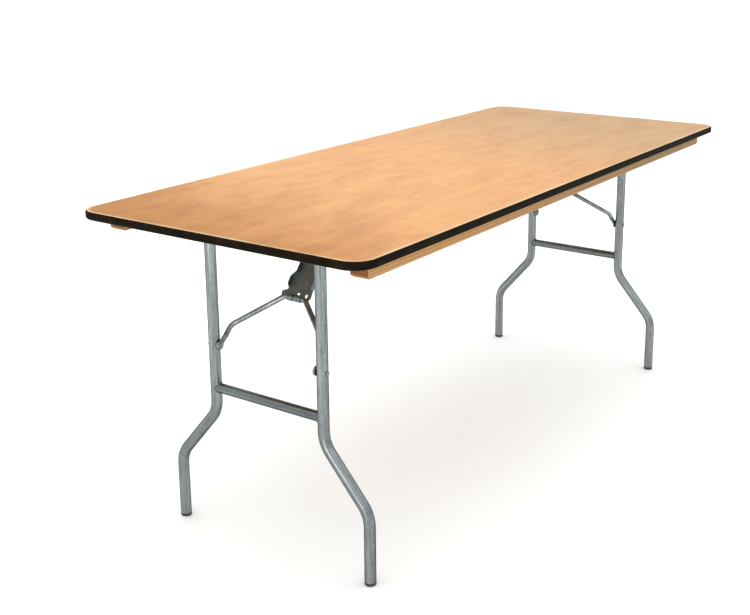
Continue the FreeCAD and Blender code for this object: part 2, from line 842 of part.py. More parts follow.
hinge_seats = front_hinge_seats + back_hinge_seats
left_pieces = {
    "hinge_cleat": cleat(-hinge_line, hinge_cleat_width, hinge_cleat_seats, hinge_seats),
    "brace_cleat": cleat(anchor_reach - hinge_line, brace_cleat_width, brace_cleat_seats, brace_seats),
    "front_hinge_bracket": hinge_bracket(-leg_line, front_hinge_seats),
    "back_hinge_bracket": hinge_bracket(leg_line, back_hinge_seats),
    "brace_bracket": brace_bracket(),
    "brace_pin": brace_pin(),
    "front_leg": front_leg(),
    "back_leg": across_mirror(front_leg()),
    "crossbar": crossbar(),
    "pivot_rod": pivot_rod(),
    "front_foot": front_foot(),
    "back_foot": across_mirror(front_foot()),
    "leg_rivets": Part.makeCompound([leg_rivet(), across_mirror(leg_rivet())]),
    "brace_plate": brace_plate(),
    "front_brace_rod": front_brace_rod(),
    "back_brace_rod": across_mirror(front_brace_rod()),
    "rivet_tails": Part.makeCompound([rivet_tail(), across_mirror(rivet_tail())]),
}
for name, shape in left_pieces.items():
    nodes["left_" + name] = shape
    nodes["right_" + name] = end_mirror(shape)
nodes["right_brace_plate"] = turned_about(nodes["left_brace_plate"])

rail_screws = [flat_screw(seat, rail_screw_length) for seat in front_rail_seats + back_rail_seats]
cleat_screws = [flat_screw(seat, cleat_screw_length) for seat in hinge_cleat_seats + brace_cleat_seats]
hinge_screws = [pan_screw(seat, bracket_screw_length) for seat in hinge_seats]
brace_screws = [pan_screw(seat, bracket_screw_length) for seat in brace_seats]
nodes["rail_screws"] = Part.makeCompound(rail_screws)
nodes["cleat_screws"] = Part.makeCompound(both_ends(cleat_screws))
nodes["hinge_bracket_screws"] = Part.makeCompound(both_ends(hinge_screws))
nodes["brace_bracket_screws"] = Part.makeCompound(both_ends(brace_screws))

os.makedirs("parts", exist_ok=True)
for name, shape in nodes.items():
    shape.exportStep(os.path.join("parts", name + ".step"))

print("leg hinge at", round(hinge_line, 4), round(hinge_level, 4))
print("brace anchor at", round(hinge_line - anchor_reach, 4), round(hinge_level, 4))
print("knuckle at", round(hinge_line - knuckle_reach, 4), round(hinge_level - knuckle_drop, 4))
print("plate turns", round(plate_turn, 4), "and the rods turn", round(rod_turn, 4), "on the plate")
print("ratios", round(plate_turn / full_fold, 6), round(rod_turn / full_fold, 6))
print("nodes", len(nodes))
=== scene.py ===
"""Dresses a folding banquet table: a lacquered plywood top on two galvanised leg frames.

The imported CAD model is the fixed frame.  Its pieces keep their shapes, and all but the
rivets get their finishes here.  The welds and the recessed screws are modelled around them.
"""

import logging
import math
from collections.abc import Iterable
from dataclasses import dataclass
from enum import Enum
from typing import Any

import bmesh
import bpy
from mathutils import Matrix, Vector


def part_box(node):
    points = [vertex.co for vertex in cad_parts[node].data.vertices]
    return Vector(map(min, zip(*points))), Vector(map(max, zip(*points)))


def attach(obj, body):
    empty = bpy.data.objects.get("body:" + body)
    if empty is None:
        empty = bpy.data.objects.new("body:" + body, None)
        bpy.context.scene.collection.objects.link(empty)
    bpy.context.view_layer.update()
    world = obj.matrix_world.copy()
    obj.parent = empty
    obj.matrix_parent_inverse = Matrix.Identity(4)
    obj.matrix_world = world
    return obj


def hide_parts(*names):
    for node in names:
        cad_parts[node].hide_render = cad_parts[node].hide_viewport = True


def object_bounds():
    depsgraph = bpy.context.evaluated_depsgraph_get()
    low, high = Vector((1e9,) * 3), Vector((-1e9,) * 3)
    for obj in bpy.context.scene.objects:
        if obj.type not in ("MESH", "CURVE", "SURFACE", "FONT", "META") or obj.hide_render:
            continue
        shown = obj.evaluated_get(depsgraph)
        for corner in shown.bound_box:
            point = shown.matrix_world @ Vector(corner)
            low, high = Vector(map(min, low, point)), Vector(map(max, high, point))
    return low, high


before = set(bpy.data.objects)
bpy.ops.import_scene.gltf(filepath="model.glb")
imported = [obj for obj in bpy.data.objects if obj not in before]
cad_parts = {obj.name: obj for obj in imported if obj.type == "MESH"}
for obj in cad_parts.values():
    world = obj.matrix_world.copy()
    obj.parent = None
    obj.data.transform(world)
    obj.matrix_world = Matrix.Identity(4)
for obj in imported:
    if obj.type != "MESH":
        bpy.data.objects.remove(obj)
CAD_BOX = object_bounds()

LOG = logging.getLogger("banquet_table")

MM = 0.001
FULL_TURN = 2 * math.pi

# Noise varies about this value
NOISE_MIDDLE = 0.5

# A wave texture repeats after this much of its scaled length
WAVE_PERIOD = FULL_TURN / 20

# Edges that turn by less than this are smoothed in the shading
SMOOTH_DEGREES = 40.0

# Vertices of a CAD mesh that are closer than this are one point
MERGE_MM = 0.001

Tree = bpy.types.NodeTree
Node = bpy.types.Node
Socket = bpy.types.NodeSocket


class Slot(Enum):
    """The record's material slots that get a finish here."""

    TOP = "top_plywood"
    EDGE = "edge_vinyl"
    RAIL = "rail_wood"
    CLEAT = "cleat_wood"
    LEG = "leg_steel"
    ROD = "rod_steel"
    PLATE = "plate_steel"
    BRACKET = "bracket_steel"
    SCREW = "screw_zinc"
    FOOT = "foot_plastic"


class End(Enum):
    """The two short ends of the table, as the node names call them."""

    LEFT = "left"
    RIGHT = "right"


class Row(Enum):
    """The two long sides of the table, as the node names call them."""

    FRONT = "front"
    BACK = "back"

    @property
    def sign(self) -> int:
        """The side's direction along Y."""
        return -1 if self is Row.FRONT else 1


class Axis(Enum):
    """The direction that a board's grain runs in."""

    X = "X"
    Y = "Y"


def linear(hex_colour: str) -> tuple[float, float, float, float]:
    """Turns an sRGB hex colour into linear light.

    Args:
        hex_colour: Six hex digits after a hash.

    Returns:
        Linear red, green and blue, with an alpha of one.
    """
    channels = []
    for start in (1, 3, 5):
        value = int(hex_colour[start : start + 2], 16) / 255
        # The sRGB curve is a straight line near black and a power above it
        channels.append(value / 12.92 if value <= 0.04045 else ((value + 0.055) / 1.055) ** 2.4)
    return (*channels, 1.0)


def per_metre(size_mm: float) -> float:
    """The texture scale that gives features of a size in millimetres."""
    return 1 / (size_mm * MM)


def ramp(places: tuple[float, ...], *colours: str) -> list[tuple[float, Any]]:
    """The stops of a colour ramp, from their places and sRGB hex colours."""
    return [(place, linear(colour)) for place, colour in zip(places, colours)]


def feed(tree: Tree, node: Node, inputs: dict[str | int, Any]) -> None:
    """Sets or links a node's inputs.

    Args:
        tree: The node tree that holds the node.
        node: The node.
        inputs: A value, or the output socket to link, for each input's name or number.
    """
    for key, value in inputs.items():
        if isinstance(value, Socket):
            tree.links.new(value, node.inputs[key])
        else:
            node.inputs[key].default_value = value


def add_node(
    tree: Tree,
    kind: str,
    inputs: dict[str | int, Any] | None = None,
    stops: Iterable[tuple[float, Any]] = (),
    **settings: Any,
) -> Node:
    """Adds one node with its settings, and sets or links its inputs.

    Args:
        tree: The node tree that gets the node.
        kind: The node's type without its ShaderNode prefix.
        inputs: A value, or the output socket to link, for each input's name or number.
        stops: Places and values of a colour ramp, where a number is a grey.
        **settings: The node's own properties.

    Returns:
        The new node.
    """
    node = tree.nodes.new("ShaderNode" + kind)
    for name, value in settings.items():
        setattr(node, name, value)
    feed(tree, node, inputs or {})
    for index, (place, value) in enumerate(stops):
        elements = node.color_ramp.elements
        stop = elements[index] if index < 2 else elements.new(place)
        stop.position = place
        stop.color = value if isinstance(value, tuple) else (value, value, value, 1.0)
    return node


def layered(tree: Tree, tone: Socket, layers: list[tuple[Socket, float]]) -> Socket:
    """Lays noise over a tone, lighter and darker in turn.

    Args:
        tree: The material's node tree.
        tone: The tone to start from.
        layers: Each layer's noise and its share.

    Returns:
        The tone with all the layers.
    """
    for noise, share in layers:
        offset = add_node(
            tree, "Math", {0: noise, 1: NOISE_MIDDLE}, operation="SUBTRACT"
        ).outputs[0]
        tone = add_node(
            tree, "Math", {0: offset, 1: share, 2: tone}, operation="MULTIPLY_ADD"
        ).outputs[0]
    return tone


@dataclass(frozen=True)
class Noise:
    """One layer of noise in a finish, by the size of its features."""

    size_mm: float
    detail: float = 2.0
    roughness: float = 0.5
    distortion: float = 0.0

    def inputs(self, place: Socket) -> dict[str, Any]:
        """The inputs of the noise node at a point."""
        return {
            "Vector": place,
            "Scale": per_metre(self.size_mm),
            "Detail": self.detail,
            "Roughness": self.roughness,
            "Distortion": self.distortion,
        }


@dataclass(frozen=True)
class Relief:
    """How deep a finish's fine relief is, and how much of it the shading shows."""

    strength: float
    depth_mm: float

    def inputs(self, height: Socket) -> dict[str, Any]:
        """The inputs of the bump node for a height."""
        return {"Height": height, "Strength": self.strength, "Distance": self.depth_mm * MM}


@dataclass(frozen=True)
class Finish:
    """A finish, which makes its material the first time that it is asked for."""

    name: str
    slot: Slot

    def material(self) -> bpy.types.Material:
        """Gives the finish's material.

        Returns:
            The material, made once and shared by all the pieces with this finish.
        """
        made = bpy.data.materials.get(self.name)
        if made is None:
            made = bpy.data.materials.new(self.name)
            made.use_nodes = True
            made.node_tree.nodes.clear()
            surface = add_node(made.node_tree, "BsdfPrincipled")
            add_node(made.node_tree, "OutputMaterial", {"Surface": surface.outputs["BSDF"]})
            place = add_node(made.node_tree, "TexCoord").outputs["Object"]
            self.paint(made.node_tree, surface, place)
        return made

    def paint(self, tree: Tree, surface: Node, place: Socket) -> None:
        """Adds the finish's own nodes.

        Args:
            tree: The material's node tree.
            surface: The shader that the nodes feed.
            place: The point on the piece, in metres in the table's frame.
        """
        raise NotImplementedError


@dataclass(frozen=True)
class LacqueredPlywood(Finish):
    """Rotary-cut hardwood plywood with a clear lacquer on its face and a bare back.

    Peeling the log in one long sheet gives the eye broad contour-like figure, soft cloudy
    patches and fine fibre along the sheet.  The lacquer adds a thin even gloss.
    """

    dark: str = "#B57D51"
    middle: str = "#C5905A"
    pale: str = "#CF9B62"
    face_stops: tuple[float, float, float] = (0.15, 0.5, 0.85)

    contour: Noise = Noise(150.0, roughness=0.4)
    contour_count: float = 7.0
    contour_share: float = 0.045
    cloud: Noise = Noise(80.0, detail=5.0, roughness=0.62)
    cloud_share: float = 0.85
    mottle: Noise = Noise(26.0, detail=3.0, distortion=0.6)
    mottle_share: float = 0.5
    # Real fibres and pores are some tenths of a millimetre wide, and are drawn coarser to show
    fibre: Noise = Noise(1.8, detail=3.0, roughness=0.6)
    fibre_share: float = 0.4
    pore: Noise = Noise(0.9, detail=1.0)
    pore_share: float = 0.12
    pore_stops: tuple[float, float] = (0.30, 0.40)
    # Patterns are drawn out along the sheet: the smaller the share, the longer they are
    along_contour: float = 0.16
    along_cloud: float = 0.55
    along_fibre: float = 0.02

    # Painted light: the left end is darkened and warmed as painted shade, the right end greyed as a
    # painted reflection of the sky
    left_painted_shade: str = "#CFB973"
    left_fade_mm: float = 620.0
    right_painted_reflection: str = "#DFEEFF"
    right_fade_mm: float = 900.0
    # The borders of the painted shade and painted reflection wander with the clouds and lean along X as Y
    # grows
    fade_wander_mm: float = 260.0
    fade_lean: float = -0.35

    # A pale rim: rubbed wear, and a painted highlight of the edge catching the light
    worn_and_highlight: str = "#D0B994"
    worn_and_highlight_share: float = 0.8
    worn_and_highlight_band_mm: float = 11.0
    worn_and_highlight_patch_range: tuple[float, float] = (0.35, 0.6)
    worn_and_highlight_patch_least: float = 0.25
    # The radius of the panel's corners, inside the edging
    panel_corner_mm: float = 46.8

    back_dark: str = "#8E7A60"
    back_pale: str = "#B9A487"
    back_stops: tuple[float, float] = (0.2, 0.75)
    back_contour_share: float = 0.1
    back_roughness: float = 0.75
    knot: str = "#5B3A20"
    knot_spacing_mm: float = 330.0
    knot_stops: tuple[float, float] = (0.010, 0.028)
    along_knot: float = 0.6

    face_roughness: float = 0.30
    fibre_roughness: float = 0.16
    relief: Relief = Relief(0.08, 0.2)
    # Low, because the photograph's top mirrors little of the sky even at its far end
    specular: float = 0.045
    coat: float = 0.1
    coat_roughness: float = 0.2

    def face_colour(self, tree: Tree, tone: Socket, pores: Socket) -> Socket:
        """Colours the face veneer.

        Args:
            tree: The material's node tree.
            tone: How light the veneer is.
            pores: The noise that the pores come from.

        Returns:
            The veneer's colour, with its pores.
        """
        colours = ramp(self.face_stops, self.dark, self.middle, self.pale)
        veneer = add_node(tree, "ValToRGB", {"Fac": tone}, stops=colours).outputs["Color"]
        marks = add_node(
            tree, "ValToRGB", {"Fac": pores}, stops=zip(self.pore_stops, (0.0, 1.0))
        ).outputs["Color"]
        return add_node(
            tree,
            "MixRGB",
            {"Fac": self.pore_share, "Color1": veneer, "Color2": marks},
            blend_type="MULTIPLY",
        ).outputs["Color"]

    def tinted_with_painted_light(self, tree: Tree, face: Socket, place: Socket, clouds: Socket) -> Socket:
        """Paints shade on the veneer towards the left end, and a grey reflection of the sky towards the
        right end.

        Args:
            tree: The material's node tree.
            face: The veneer's colour.
            place: The point on the panel.
            clouds: The noise that the tints' borders wander with.

        Returns:
            The tinted colour.
        """
        split = add_node(tree, "SeparateXYZ", {"Vector": place})
        lean = add_node(
            tree,
            "Math",
            {0: split.outputs["Y"], 1: self.fade_lean, 2: split.outputs["X"]},
            operation="MULTIPLY_ADD",
        ).outputs[0]
        drift = add_node(
            tree, "Math", {0: clouds, 1: self.fade_wander_mm * MM, 2: lean}, operation="MULTIPLY_ADD"
        ).outputs[0]
        for tint, edge, reach_mm in (
            (self.left_painted_shade, CAD_BOX[0].x, self.left_fade_mm),
            (self.right_painted_reflection, CAD_BOX[1].x, -self.right_fade_mm),
        ):
            shade = add_node(
                tree,
                "MapRange",
                {
                    "Value": drift,
                    "From Min": edge,
                    "From Max": edge + reach_mm * MM,
                    "To Min": 1.0,
                    "To Max": 0.0,
                },
                interpolation_type="SMOOTHSTEP",
            ).outputs["Result"]
            face = add_node(
                tree,
                "MixRGB",
                {"Fac": shade, "Color1": face, "Color2": linear(tint)},
                blend_type="MULTIPLY",
            ).outputs["Color"]
        return face

    def wear_and_highlight(self, tree: Tree, place: Socket, clouds: Socket) -> Socket:
        """Finds the rim of the panel, painted pale for rubbed lacquer and for a painted highlight where
        the edge catches the light.

        Args:
            tree: The material's node tree.
            place: The point on the panel.
            clouds: The noise that breaks the rim into patches.

        Returns:
            How much wear and painted highlight the point gets.
        """
        corner = self.panel_corner_mm * MM
        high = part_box("tabletop_panel")[1]
        inner = (high.x - corner, high.y - corner, 0.0)
        flat = add_node(
            tree, "VectorMath", {0: place, 1: (1.0, 1.0, 0.0)}, operation="MULTIPLY"
        ).outputs[0]
        quarter = add_node(tree, "VectorMath", {0: flat}, operation="ABSOLUTE").outputs[0]
        beyond = add_node(tree, "VectorMath", {0: quarter, 1: inner}, operation="SUBTRACT").outputs[0]
        outside = add_node(
            tree, "VectorMath", {0: beyond, 1: (0.0, 0.0, 0.0)}, operation="MAXIMUM"
        ).outputs[0]
        reach = add_node(tree, "VectorMath", {0: outside}, operation="LENGTH").outputs["Value"]
        rim = add_node(
            tree,
            "MapRange",
            {
                "Value": reach,
                "From Min": corner - self.worn_and_highlight_band_mm * MM,
                "From Max": corner,
                "To Max": self.worn_and_highlight_share,
            },
            interpolation_type="SMOOTHSTEP",
        ).outputs["Result"]
        start, end = self.worn_and_highlight_patch_range
        patches = add_node(
            tree,
            "MapRange",
            {"Value": clouds, "From Min": start, "From Max": end, "To Min": self.worn_and_highlight_patch_least},
        ).outputs["Result"]
        return add_node(tree, "Math", {0: rim, 1: patches}, operation="MULTIPLY").outputs[0]

    def back_colour(self, tree: Tree, place: Socket, tone: Socket, wave: Socket) -> Socket:
        """Colours the bare veneer under the table.

        Args:
            tree: The material's node tree.
            place: The point on the panel.
            tone: How light the veneer is.
            wave: The figure's contours, which show more on bare wood.

        Returns:
            The bare veneer's colour, with its knots.
        """
        tone = add_node(
            tree, "Math", {0: wave, 1: self.back_contour_share, 2: tone}, operation="MULTIPLY_ADD"
        ).outputs[0]
        colours = ramp(self.back_stops, self.back_dark, self.back_pale)
        back = add_node(tree, "ValToRGB", {"Fac": tone}, stops=colours).outputs["Color"]
        knot_place = add_node(
            tree, "VectorMath", {0: place, 1: (self.along_knot, 1.0, 0.0)}, operation="MULTIPLY"
        ).outputs[0]
        distance = add_node(
            tree,
            "TexVoronoi",
            {"Vector": knot_place, "Scale": per_metre(self.knot_spacing_mm)},
            voronoi_dimensions="2D",
        ).outputs["Distance"]
        knots = add_node(
            tree, "ValToRGB", {"Fac": distance}, stops=zip(self.knot_stops, (1.0, 0.0))
        ).outputs["Color"]
        return add_node(
            tree, "MixRGB", {"Fac": knots, "Color1": back, "Color2": linear(self.knot)}
        ).outputs["Color"]

    def paint(self, tree: Tree, surface: Node, place: Socket) -> None:
        """Adds the plywood's figure, clouds, fibre, painted end shading, worn and highlighted rim, and
        bare back.

        Args:
            tree: The material's node tree.
            surface: The shader that the nodes feed.
            place: The point on the piece, in metres in the table's frame.
        """
        contour_place, cloud_place, fibre_place = (
            add_node(
                tree, "VectorMath", {0: place, 1: (along, 1.0, 1.0)}, operation="MULTIPLY"
            ).outputs[0]
            for along in (self.along_contour, self.along_cloud, self.along_fibre)
        )
        contour, clouds, mottle, fibre, pores = (
            add_node(tree, "TexNoise", noise.inputs(where)).outputs["Fac"]
            for noise, where in (
                (self.contour, contour_place),
                (self.cloud, cloud_place),
                (self.mottle, cloud_place),
                (self.fibre, fibre_place),
                (self.pore, fibre_place),
            )
        )
        turns = add_node(
            tree, "Math", {0: contour, 1: self.contour_count * FULL_TURN}, operation="MULTIPLY"
        ).outputs[0]
        wave = add_node(tree, "Math", {0: turns}, operation="SINE").outputs[0]
        figure = add_node(
            tree, "Math", {0: wave, 1: self.contour_share, 2: NOISE_MIDDLE}, operation="MULTIPLY_ADD"
        ).outputs[0]
        layers = [(clouds, self.cloud_share), (mottle, self.mottle_share), (fibre, self.fibre_share)]
        tone = layered(tree, figure, layers)

        face = self.tinted_with_painted_light(tree, self.face_colour(tree, tone, pores), place, clouds)
        # The rim is painted pale: wear, and a painted highlight
        worn_and_highlight = self.wear_and_highlight(tree, place, clouds)
        face = add_node(
            tree, "MixRGB", {"Fac": worn_and_highlight, "Color1": face, "Color2": linear(self.worn_and_highlight)}
        ).outputs["Color"]
        back = self.back_colour(tree, place, tone, wave)
        low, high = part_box("tabletop_panel")
        level = add_node(tree, "SeparateXYZ", {"Vector": place}).outputs["Z"]
        on_face = add_node(
            tree, "Math", {0: level, 1: (low.z + high.z) / 2}, operation="GREATER_THAN"
        ).outputs[0]
        colour = add_node(
            tree, "MixRGB", {"Fac": on_face, "Color1": back, "Color2": face}
        ).outputs["Color"]
        face_gloss = add_node(
            tree,
            "Math",
            {0: fibre, 1: self.fibre_roughness, 2: self.face_roughness},
            operation="MULTIPLY_ADD",
        ).outputs[0]
        bare = (self.back_roughness, self.back_roughness, self.back_roughness, 1.0)
        gloss = add_node(
            tree, "MixRGB", {"Fac": on_face, "Color1": bare, "Color2": face_gloss}
        ).outputs["Color"]
        bump = add_node(tree, "Bump", self.relief.inputs(fibre)).outputs["Normal"]
        shading = {
            "Base Color": colour,
            "Roughness": gloss,
            "Normal": bump,
            "Specular IOR Level": self.specular,
            "Coat Weight": self.coat,
            "Coat Roughness": self.coat_roughness,
        }
        feed(tree, surface, shading)


@dataclass(frozen=True)
class SawnBoard(Finish):
    """Planed softwood: growth rings, seen as stripes along the board and arcs on its ends.

    Each ring fades from pale early wood to a narrow dark line of late wood, painted shade
    darkens the board along X towards the far end, and the planed faces are matt.
    """

    grain: Axis = Axis.X
    along_grain: float = 0.08

    early: str = "#C39459"
    late: str = "#966A3B"
    ring_mm: float = 6.0
    late_stops: tuple[float, float] = (0.35, 0.95)
    pith_mm: tuple[float, float, float] = (40.0, 25.0, 60.0)
    wander: Noise = Noise(70.0)
    wander_mm: float = 22.0
    # Real fibres are some tenths of a millimetre wide, and are drawn coarser to show
    fibre: Noise = Noise(1.2, detail=3.0, roughness=0.6)
    fibre_share: float = 0.8

    end_tint: str = "#B3946E"
    end_stops: tuple[float, float] = (0.6, 0.8)
    # Painted shade: the boards darken along X, as the far rail does in the shadow of the top
    far_end_painted_shade: str = "#CFDADE"
    # Where the painted shade starts and is full, along X from the table's middle
    painted_shade_from_mm: float = -600.0
    painted_shade_full_mm: float = 500.0

    relief: Relief = Relief(0.15, 0.3)
    roughness: float = 0.6
    specular: float = 0.3

    def ring_tone(self, tree: Tree, log_place: Socket) -> Socket:
        """Draws the growth rings.

        Args:
            tree: The material's node tree.
            log_place: The point in the log that the board was sawn from.

        Returns:
            How much late wood there is.
        """
        wander = add_node(tree, "TexNoise", self.wander.inputs(log_place)).outputs["Color"]
        shifted = add_node(
            tree,
            "VectorMath",
            {0: wander, 1: (self.wander_mm * MM,) * 3, 2: log_place},
            operation="MULTIPLY_ADD",
        ).outputs[0]
        rings = add_node(
            tree,
            "TexWave",
            {"Vector": shifted, "Scale": WAVE_PERIOD * per_metre(self.ring_mm)},
            wave_type="RINGS",
            rings_direction=self.grain.value,
            wave_profile="SAW",
        ).outputs["Fac"]
        return add_node(
            tree, "ValToRGB", {"Fac": rings}, stops=zip(self.late_stops, (0.0, 1.0))
        ).outputs["Color"]

    def tinted_with_painted_light(self, tree: Tree, colour: Socket, place: Socket) -> Socket:
        """Darkens the sawn ends, and paints shade along X towards the far end.

        Args:
            tree: The material's node tree.
            colour: The board's colour.
            place: The point on the board.

        Returns:
            The tinted colour.
        """
        normal = add_node(tree, "TexCoord").outputs["Normal"]
        facing = add_node(tree, "SeparateXYZ", {"Vector": normal}).outputs[self.grain.value]
        facing = add_node(tree, "Math", {0: facing}, operation="ABSOLUTE").outputs[0]
        sawn_end = add_node(
            tree, "ValToRGB", {"Fac": facing}, stops=zip(self.end_stops, (0.0, 1.0))
        ).outputs["Color"]
        along = add_node(tree, "SeparateXYZ", {"Vector": place}).outputs["X"]
        far_end_shade = add_node(
            tree,
            "MapRange",
            {
                "Value": along,
                "From Min": self.painted_shade_from_mm * MM,
                "From Max": self.painted_shade_full_mm * MM,
            },
        ).outputs["Result"]
        # The darkening along X is painted shade
        for share, tint in ((sawn_end, self.end_tint), (far_end_shade, self.far_end_painted_shade)):
            colour = add_node(
                tree,
                "MixRGB",
                {"Fac": share, "Color1": colour, "Color2": linear(tint)},
                blend_type="MULTIPLY",
            ).outputs["Color"]
        return colour

    def paint(self, tree: Tree, surface: Node, place: Socket) -> None:
        """Adds the board's growth rings, fibre, sawn ends and painted shade.

        Args:
            tree: The material's node tree.
            surface: The shader that the nodes feed.
            place: The point on the piece, in metres in the table's frame.
        """
        squeeze = tuple(self.along_grain if axis == self.grain.value else 1.0 for axis in "XYZ")
        log_place = add_node(
            tree, "VectorMath", {0: place, 1: squeeze}, operation="MULTIPLY"
        ).outputs[0]
        pith = tuple(offset * MM for offset in self.pith_mm)
        log_place = add_node(tree, "VectorMath", {0: log_place, 1: pith}, operation="ADD").outputs[0]
        fibre = add_node(tree, "TexNoise", self.fibre.inputs(log_place)).outputs["Fac"]
        tone = layered(tree, self.ring_tone(tree, log_place), [(fibre, self.fibre_share)])
        colours = ramp((0.0, 1.0), self.early, self.late)
        colour = add_node(tree, "ValToRGB", {"Fac": tone}, stops=colours).outputs["Color"]
        bump = add_node(tree, "Bump", self.relief.inputs(fibre)).outputs["Normal"]
        shading = {
            "Base Color": self.tinted_with_painted_light(tree, colour, place),
            "Roughness": self.roughness,
            "Normal": bump,
            "Specular IOR Level": self.specular,
        }
        feed(tree, surface, shading)


@dataclass(frozen=True)
class ExtrudedVinyl(Finish):
    """Black extruded vinyl edging: a soft satin strip with a fine grain and rub marks."""

    colour: str = "#120D06"
    rubbed: str = "#261D11"
    rub: Noise = Noise(35.0, detail=4.0, roughness=0.65)
    rub_stops: tuple[float, float] = (0.45, 0.8)
    # The real grain is about a tenth of a millimetre, and is drawn coarser to show
    grain: Noise = Noise(0.9, detail=1.0)
    relief: Relief = Relief(0.1, 0.1)
    roughness: float = 0.45
    rub_roughness: float = 0.25
    specular: float = 0.03

    def paint(self, tree: Tree, surface: Node, place: Socket) -> None:
        """Adds the vinyl's rub marks and fine grain.

        Args:
            tree: The material's node tree.
            surface: The shader that the nodes feed.
            place: The point on the piece, in metres in the table's frame.
        """
        rubs = add_node(tree, "TexNoise", self.rub.inputs(place)).outputs["Fac"]
        colours = ramp(self.rub_stops, self.colour, self.rubbed)
        colour = add_node(tree, "ValToRGB", {"Fac": rubs}, stops=colours).outputs["Color"]
        gloss = add_node(
            tree, "Math", {0: rubs, 1: self.rub_roughness, 2: self.roughness}, operation="MULTIPLY_ADD"
        ).outputs[0]
        grain = add_node(tree, "TexNoise", self.grain.inputs(place)).outputs["Fac"]
        bump = add_node(tree, "Bump", self.relief.inputs(grain)).outputs["Normal"]
        shading = {
            "Base Color": colour,
            "Roughness": gloss,
            "Normal": bump,
            "Specular IOR Level": self.specular,
        }
        feed(tree, surface, shading)


@dataclass(frozen=True)
class GalvanisedSteel(Finish):
    """Steel with a zinc coat: a cold grey metal with a faint crystal spangle.

    Forming and handling leave fine lines and broad streaks down the piece, and a broken,
    half-dull shine.
    """

    dark: str = "#6C7172"
    pale: str = "#A3A8A9"
    edge: str = "#8A8E8E"
    tone_range: tuple[float, float] = (0.35, 0.95)
    spangle_mm: float = 7.0
    spangle_share: float = 0.12
    streak: Noise = Noise(9.0, detail=1.0)
    streak_share: float = 0.8
    # Real forming lines are some tenths of a millimetre apart, and are drawn coarser to show
    line: Noise = Noise(1.3, detail=3.0, roughness=0.6)
    # A share under one along an axis draws the lines and streaks out that way
    line_stretch: tuple[float, float, float] = (1.0, 1.0, 0.03)
    relief: Relief = Relief(0.06, 0.1)
    dullest: float = 0.34
    brightest: float = 0.2

    def straightened(self, tree: Tree, place: Socket) -> Socket:
        """Takes the bends out of a piece, so that its lines follow them.

        Args:
            tree: The material's node tree.
            place: The point on the piece, in metres in the table's frame.

        Returns:
            The same point on the straight piece, which a piece without bends is already.
        """
        return place

    def paint(self, tree: Tree, surface: Node, place: Socket) -> None:
        """Adds the zinc's spangle, and the lines and streaks down the piece.

        Args:
            tree: The material's node tree.
            surface: The shader that the nodes feed.
            place: The point on the piece, in metres in the table's frame.
        """
        crystals = add_node(
            tree, "TexVoronoi", {"Vector": place, "Scale": per_metre(self.spangle_mm)}
        ).outputs["Color"]
        spangle = add_node(tree, "RGBToBW", {"Color": crystals}).outputs["Val"]
        straight = self.straightened(tree, place)
        line_place = add_node(
            tree, "VectorMath", {0: straight, 1: self.line_stretch}, operation="MULTIPLY"
        ).outputs[0]
        lines = add_node(tree, "TexNoise", self.line.inputs(line_place)).outputs["Fac"]
        streaks = add_node(tree, "TexNoise", self.streak.inputs(line_place)).outputs["Fac"]
        tone = add_node(
            tree, "Math", {0: spangle, 1: self.spangle_share, 2: lines}, operation="MULTIPLY_ADD"
        ).outputs[0]
        tone = layered(tree, tone, [(streaks, self.streak_share)])
        colours = ramp(self.tone_range, self.dark, self.pale)
        colour = add_node(tree, "ValToRGB", {"Fac": tone}, stops=colours).outputs["Color"]
        start, end = self.tone_range
        gloss = add_node(
            tree,
            "MapRange",
            {
                "Value": tone,
                "From Min": start,
                "From Max": end,
                "To Min": self.dullest,
                "To Max": self.brightest,
            },
        ).outputs["Result"]
        shading = {
            "Base Color": colour,
            "Roughness": gloss,
            "Normal": add_node(tree, "Bump", self.relief.inputs(lines)).outputs["Normal"],
            "Metallic": 1.0,
            "Specular Tint": linear(self.edge),
        }
        feed(tree, surface, shading)


@dataclass(frozen=True)
class GalvanisedLeg(GalvanisedSteel):
    """Galvanised tube bent outwards between the knee and the ankle, streaked along its run."""

    # The heights at which the leg's straight runs would meet
    knee_mm: float = 294.2
    ankle_mm: float = 159.2

    def straightened(self, tree: Tree, place: Socket) -> Socket:
        """Takes the leg's slant out.

        Args:
            tree: The material's node tree.
            place: The point on the leg, in metres in the table's frame.

        Returns:
            The point's X, its distance across from the leg's middle line, and its height.
        """
        low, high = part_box("left_back_leg")
        radius = (high.x - low.x) / 2
        split = add_node(tree, "SeparateXYZ", {"Vector": place})
        spread = add_node(
            tree,
            "MapRange",
            {
                "Value": split.outputs["Z"],
                "From Min": self.ankle_mm * MM,
                "From Max": self.knee_mm * MM,
                "To Min": high.y - radius,
                "To Max": low.y + radius,
            },
        ).outputs["Result"]
        side = add_node(tree, "Math", {0: split.outputs["Y"]}, operation="ABSOLUTE").outputs[0]
        across = add_node(tree, "Math", {0: side, 1: spread}, operation="SUBTRACT").outputs[0]
        return add_node(
            tree, "CombineXYZ", {"X": split.outputs["X"], "Y": across, "Z": split.outputs["Z"]}
        ).outputs["Vector"]


@dataclass(frozen=True)
class WeldMetal(Finish):
    """A bead of arc weld: rippled, with a mottled dark grey colour."""

    dark: str = "#4C4A46"
    pale: str = "#8C8E8B"
    mottle: Noise = Noise(3.0)
    mottle_stops: tuple[float, float] = (0.35, 0.65)
    roughness: float = 0.5

    def paint(self, tree: Tree, surface: Node, place: Socket) -> None:
        """Adds the weld's mottled colour.

        Args:
            tree: The material's node tree.
            surface: The shader that the nodes feed.
            place: The point on the piece, in metres in the table's frame.
        """
        mottle = add_node(tree, "TexNoise", self.mottle.inputs(place)).outputs["Fac"]
        colours = ramp(self.mottle_stops, self.dark, self.pale)
        colour = add_node(tree, "ValToRGB", {"Fac": mottle}, stops=colours).outputs["Color"]
        feed(tree, surface, {"Base Color": colour, "Roughness": self.roughness, "Metallic": 1.0})


